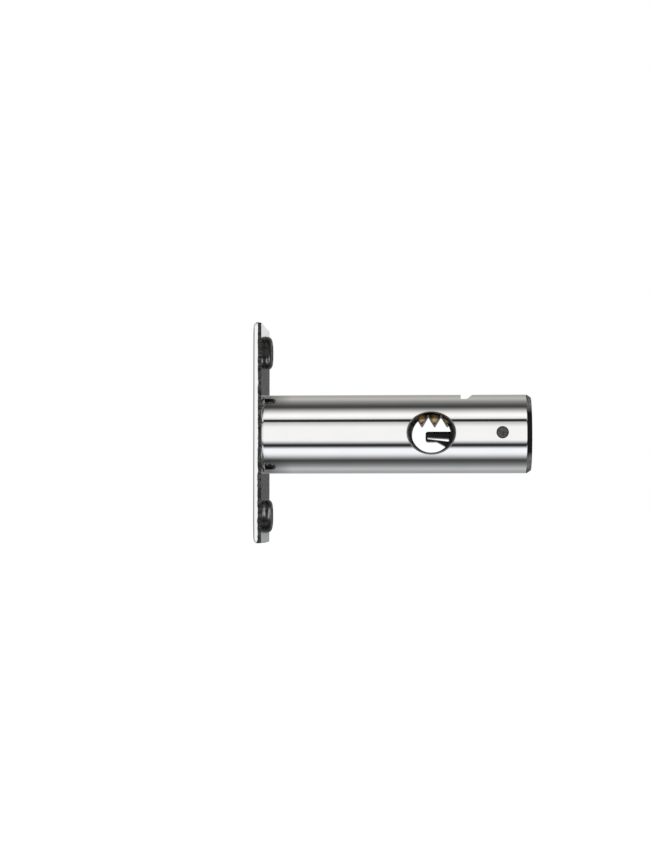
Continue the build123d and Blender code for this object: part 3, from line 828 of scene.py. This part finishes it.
cap = {
    "jointX": 59.9, "endX": 61.0, "radius": 8.75,
    "jointChamfer": 0.1, "bevel": 0.6, "bevelLength": 0.95, "endRound": 0.14,
    "lowSplit": -0.6,  # angle that divides the lower part of its rings
    "spigotFrom": 46.775, "spigotRadius": 7.22, "spigotTop": 1.5,
    "slotHalfWidth": 3.15, "slotFloor": -5.59, "slotEnd": 59.3,
    "stopX": 58.1, "stopZ": -1.1,
    "springX": 48.9, "pocketRadius": 1.625, "pocketDepth": 0.9,
}


def plug(start, end, radius, segments, x, about):
    # closed cylinder from start to end, along an axis that passes through x
    return lathe([(start, 0), (start, radius), (end, radius), (end, 0)], segments, (x, 0, 0), about)


def box(x0, x1, halfWidth, z0, z1):
    # closed block: two rings of four corners, and its ends
    corners = np.array([(-halfWidth, z0), (halfWidth, z0), (halfWidth, z1), (-halfWidth, z1)])
    sides = tube([np.insert(corners, 0, x, axis=1) for x in (x0, x1)])
    return [sides, (sides[0], [[0, 1, 2, 3], [4, 5, 6, 7]], 0)]


def makeCap():
    c = cap
    r, spigotR, joint, roundR = c["radius"], c["spigotRadius"], c["jointChamfer"], c["endRound"]
    jointX, endX, lowSplit = c["jointX"], c["endX"], c["lowSplit"]
    highSplit = math.asin(c["spigotTop"] / spigotR)
    spigot = [barRing(x, spigotR, high=c["spigotTop"], lowSplit=lowSplit) for x in (c["spigotFrom"], jointX)]
    rim = [(jointX, r - joint), (jointX + 0.6 * joint, r - 0.3 * joint), (jointX + joint, r)]
    bevelX = endX - c["bevelLength"]
    rim += [(bevelX, r), (bevelX + 0.04, r - 0.012)]
    rim += bend((endX - roundR, r - c["bevel"] - 0.1), roundR, 60, 0, 6).tolist()
    rimRings = [barRing(x, radius, lowSplit=lowSplit, highSplit=highSplit) for x, radius in rim]
    patches = [tube(spigot + rimRings[:1]), ladder(spigot[0]), ladder(rimRings[-1]), tube(rimRings, 1)]
    piece = makePiece("endCap", patches, [nylon, rimNylon])
    floor, stopX = c["slotFloor"], c["stopX"]
    slot = box(c["spigotFrom"] - 1, stopX, c["slotHalfWidth"], floor, r)
    shelf = box(stopX - 0.1, c["slotEnd"], c["slotHalfWidth"], c["stopZ"], r)
    pocket = plug(floor - c["pocketDepth"], floor + 1, c["pocketRadius"], 48, c["springX"], "z")
    pinWay = plug(-9, 9, pinHole["radius"], 64, pinHole["x"], "y")
    carve(piece, [slot, shelf, [pocket], [pinWay]])
    piece.data.set_sharp_from_angle(angle=math.radians(28))
    settleNormals(piece, walls=(r,), flats=(endX,))
    seat(piece, "end_cap", "case")


makeCap()

# Cross pin: cut from rod, with sheared ends just below the barrel's skin

pin = {"radius": 1.25, "halfLength": 8.67, "chamfer": 0.15, "shear": 0.09, "segments": 72, "endRings": 14}


def makePin():
    # ends: rings of shrinking radius with a shallow random relief, never longer than the pin
    r, end, segments = pin["radius"], pin["halfLength"], pin["segments"]
    side = end - pin["chamfer"]
    face = np.linspace(r - pin["chamfer"], 0, pin["endRings"])
    outline = [(-end, f) for f in face[::-1]] + [(-side, r), (0, r), (side, r)] + [(end, f) for f in face]
    points, quads, mark = lathe(outline, segments, (pinHole["x"], 0, 0), "y")
    points = points.reshape(len(outline), segments, 3)
    relief = roughness(len(face), segments) * pin["shear"]
    relief[-1] = relief[-1].mean()
    points[:len(face), :, 1] += relief[::-1]
    points[-len(face):, :, 1] -= relief
    piece = makePiece("crossPin", [(points.reshape(-1, 3), quads, mark)], [pinSteel])
    seat(piece, "cross_pin", "case")


makePin()

# Finger: a slit lever on the cross pin, with cammed top edges and a stud for its spring

finger = {
    "halfWidth": 3.0, "cam": 0.4, "topZ": 0.43,
    "noseX": 37.65, "noseHeight": 2.2, "noseFlat": 2.5, "noseRound": 0.55,
    "slope": 28, "bellyZ": -3.0,
    "bossRadius": 2.55, "tailLength": 4.45, "tailHeight": 1.5, "pinGap": 0.04,
    "slitWall": 0.4, "slitLength": 4.9, "slitHeight": 0.68, "slitDrop": 1.08, "slitTilt": 5.5,
    "studRadius": 0.875, "studHeight": 0.6,
}


def fingerOutline(drop):
    # side outline as (x, z) points, its top lowered by drop
    f = finger
    top, low = f["topZ"] - drop, f["topZ"] - f["noseHeight"]
    roundR, pinX = f["noseRound"], pinHole["x"]
    slopeX = f["noseX"] + f["noseFlat"]
    bellyX = slopeX + (low - f["bellyZ"]) / math.tan(math.radians(f["slope"]))
    tailX, tailZ = pinX + f["tailLength"], f["topZ"] - f["tailHeight"]
    bossX = math.sqrt(f["bossRadius"] ** 2 - tailZ ** 2)
    bossEnd = math.degrees(math.atan2(tailZ, bossX))
    parts = [
        bend((f["noseX"] + roundR, top - roundR), roundR, 90, 180, 8),
        bend((f["noseX"] + roundR, low + roundR), roundR, 180, 270, 8),
        [(slopeX, low), (bellyX, f["bellyZ"]), (pinX, f["bellyZ"])],
        bend((pinX, 0), f["bossRadius"], -90, bossEnd, 12),
        [(tailX, tailZ), (tailX, top)],
    ]
    return np.concatenate(parts)


def slitOutline():
    # slit with round ends, turned nose-up about its front top corner
    f = finger
    half = f["slitHeight"] / 2
    small = 0.6 * half  # the round at its front is smaller
    rear = bend((f["slitLength"] - half, -half), half, -90, 90, 9)
    loop = np.concatenate([bend((small, -half), small, 90, 270, 9), rear])
    tilt = math.radians(f["slitTilt"])
    turned = loop @ np.array([[math.cos(tilt), -math.sin(tilt)], [math.sin(tilt), math.cos(tilt)]])
    return turned + (f["noseX"] + f["slitWall"], f["topZ"] - f["slitDrop"])


def makeFinger():
    f = finger
    half = f["halfWidth"]
    outer, full = fingerOutline(f["cam"]), fingerOutline(0)
    holes = [slitOutline(), bend((pinHole["x"], 0), pin["radius"] + f["pinGap"], 0, 350, 36)]

    def at(y, loop):
        return np.insert(loop, 1, y, axis=1)

    skin = [at(-half, outer), at(f["cam"] - half, full), at(half - f["cam"], full), at(half, outer)]
    patches = [tube(skin)] + [tube([at(-half, loop), at(half, loop)]) for loop in holes]
    patches += [flatFace(y, [outer] + holes, across=1) for y in (-half, half)]
    studFrom, studTo = f["bellyZ"] + 0.2, f["bellyZ"] - f["studHeight"]
    patches.append(plug(studFrom, studTo, f["studRadius"], 32, cap["springX"], "z"))
    piece = makePiece("detentFinger", patches, [nylon])
    soften = piece.modifiers.new("soften", "BEVEL")
    soften.width = 0.08 * mm
    soften.segments = 2
    soften.limit_method = "ANGLE"
    soften.angle_limit = math.radians(35)
    piece.modifiers.new("weigh", "WEIGHTED_NORMAL").keep_sharp = True
    seat(piece, "detent_finger", "finger")


makeFinger()

# The spring's own solid has the right form, so it only takes its finish

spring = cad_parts["finger_spring"]
spring.data.materials.clear()
spring.data.materials.append(wire)
print("finger spring finished")

# Studio: a dark tent with soft panels round the barrel's axis

tent = {
    "dark": 0.06,  # the tent between its panels, above and below the barrel
    # degrees from the front (0), over the top (90) to the back (180), negative below: a panel's middle, half
    # width and softness, its brightness and its warmth; each lies over those before it
    "panels": [
        (-150, 46, 20, 0.38, -0.01), (150, 45, 20, 0.4, 0.02),  # wall at the back
        (-127, 8, 12, 0.52, -0.02), (127, 7, 10, 0.5, 0.035),  # its lighter borders
        (-46, 25, 15, 0.98, -0.02), (52, 17.5, 16, 1.02, 0.016),  # low and high panel in front
        (12, 35.5, 5, 0.95, 0.004),  # front panel
        (34.5, 9, 9, 0.55, 0.005), (38, 4.2, 1.6, 0.025, 0),  # upper seam: a grey border and a black line
        (-34.8, 7.3, 5.8, 0.025, 0),  # lower seam
    ],
    # cards laid over the panels, in this order: a colour, and ramps over the parts of the direction
    "cards": [
        # towards +Y and a little to +X, behind the plate: a dark card with a light one above it
        ((0.85, 0.85, 0.86), ("Y", 0.975, 0.985), ("X", 0.055, 0.065), ("Z", 0.088, 0.094)),
        ((0.09, 0.09, 0.093), ("Y", 0.975, 0.985), ("X", 0.055, 0.065),
         ("Z", -0.006, 0), ("Z", 0.094, 0.088)),
        # dark behind the plate's front edge, and towards -X but not in the diagonal directions
        ((0.05, 0.05, 0.052), ("X", -0.11, -0.16), ("Y", 0.75, 0.85)),
        ((0.05, 0.05, 0.052), ("X", -0.82, -0.88), ("lesser", 0.2, 0.1)),
        # a narrow upright card in the middle of that
        ((1.0, 1.0, 1.0), ("|Y|", 0.12, 0.09), ("|Z|", 0.36, 0.3), ("X", -0.82, -0.88)),
        # side lights for the plate's face, at the back and low in front
        ((0.88, 0.88, 0.89), ("X", -0.25, -0.4), ("X", -0.84, -0.78),
         ("Y", 0, 0.15), ("|Z|", 0.18, 0.3)),
        ((0.88, 0.88, 0.89), ("X", -0.25, -0.4), ("X", -0.84, -0.78),
         ("Y", -0.3, -0.45), ("Z", -0.2, -0.34)),
        # a glow towards +X
        ((0.6, 0.6, 0.61), ("X", 0.85, 0.95)),
    ],
    "white": (1.0, 1.0, 1.0),  # what the camera and diffuse rays see
}
floorLook = {
    "halfSize": 3000.0, "below": 0.05,  # distance under the object
    "colour": (0.32, 0.32, 0.32, 1), "glow": 0.82, "roughness": 0.8,
}


def lightTent():
    world = bpy.data.worlds.new("lightTent")
    bpy.context.scene.world = world
    world.use_nodes = True
    tree = world.node_tree
    tree.nodes.clear()
    part = partsOf(tree, addNode(tree, "TexCoord", {}).outputs["Generated"])
    part["lesser"] = maths(tree, "MINIMUM", part["|Y|"], part["|Z|"])
    forward = maths(tree, "MULTIPLY", part["Y"], -1.0)
    angle = maths(tree, "MULTIPLY", maths(tree, "ARCTAN2", part["Z"], forward), 180 / math.pi)
    light = (tent["dark"],) * 3
    for middle, half, soft, bright, warmth in tent["panels"]:
        away = maths(tree, "ABSOLUTE", maths(tree, "SUBTRACT", angle, middle))
        panel = spread(tree, away, 1, 0, half - soft, half + soft, interpolation_type="SMOOTHSTEP")
        colour = (bright * (1 + warmth), bright, bright * (1 - 1.5 * warmth))
        light = blendColours(tree, panel, light, colour)
    for colour, *ramps in tent["cards"]:
        light = blendColours(tree, shareOf(tree, part, ramps, 1), light, colour)

    ray = addNode(tree, "LightPath", {}).outputs
    plain = maths(tree, "MAXIMUM", ray["Is Camera Ray"], ray["Is Diffuse Ray"])
    seen = blendColours(tree, plain, light, tent["white"])
    glow = addNode(tree, "Background", {"Color": seen, "Strength": 1.0})
    addNode(tree, "OutputWorld", {"Surface": glow.outputs[0]})


def paleFloor():
    size, z = floorLook["halfSize"], cadBox[0].z / mm - floorLook["below"]
    corners = [[(-size, y, z), (size, y, z)] for y in (-size, size)]
    fixed = {"Base Color": floorLook["colour"], "Roughness": floorLook["roughness"]}
    fixed.update({"Emission Color": (1, 1, 1, 1), "Emission Strength": floorLook["glow"]})
    finish = newFinish("paleFloor", fixed)[0]
    floor = makePiece("floor", [sheet(np.array(corners))], [finish])
    floor.visible_glossy = False


lightTent()
paleFloor()

# Camera: where the photograph was taken from, in front of the barrel's middle and a little below it

photo = {
    "width": 650, "height": 868, "focal": 1970.8,
    "squareOn": (436.25, 524.02),  # the pixel that looks straight along +Y
    "eye": (40.0, -440.0, -20.0),
}


def photoCamera():
    # the camera is turned from +Y by as much as squareOn lies off the frame's middle
    lens = bpy.data.cameras.new("photoCamera")
    camera = bpy.data.objects.new("photoCamera", lens)
    bpy.context.scene.collection.objects.link(camera)
    lens.sensor_width = 36.0
    lens.lens = photo["focal"] / max(photo["width"], photo["height"]) * lens.sensor_width
    lens.clip_start, lens.clip_end = 0.01, 20.0
    across = (photo["width"] / 2 - photo["squareOn"][0]) / photo["focal"]
    up = (photo["squareOn"][1] - photo["height"] / 2) / photo["focal"]
    camera.location = [v * mm for v in photo["eye"]]
    camera.rotation_euler = (math.radians(90) + math.atan(up / math.hypot(1, across)), 0, -math.atan(across))
    bpy.context.scene.camera = camera


photoCamera()
bpy.context.scene.view_settings.view_transform = "Standard"
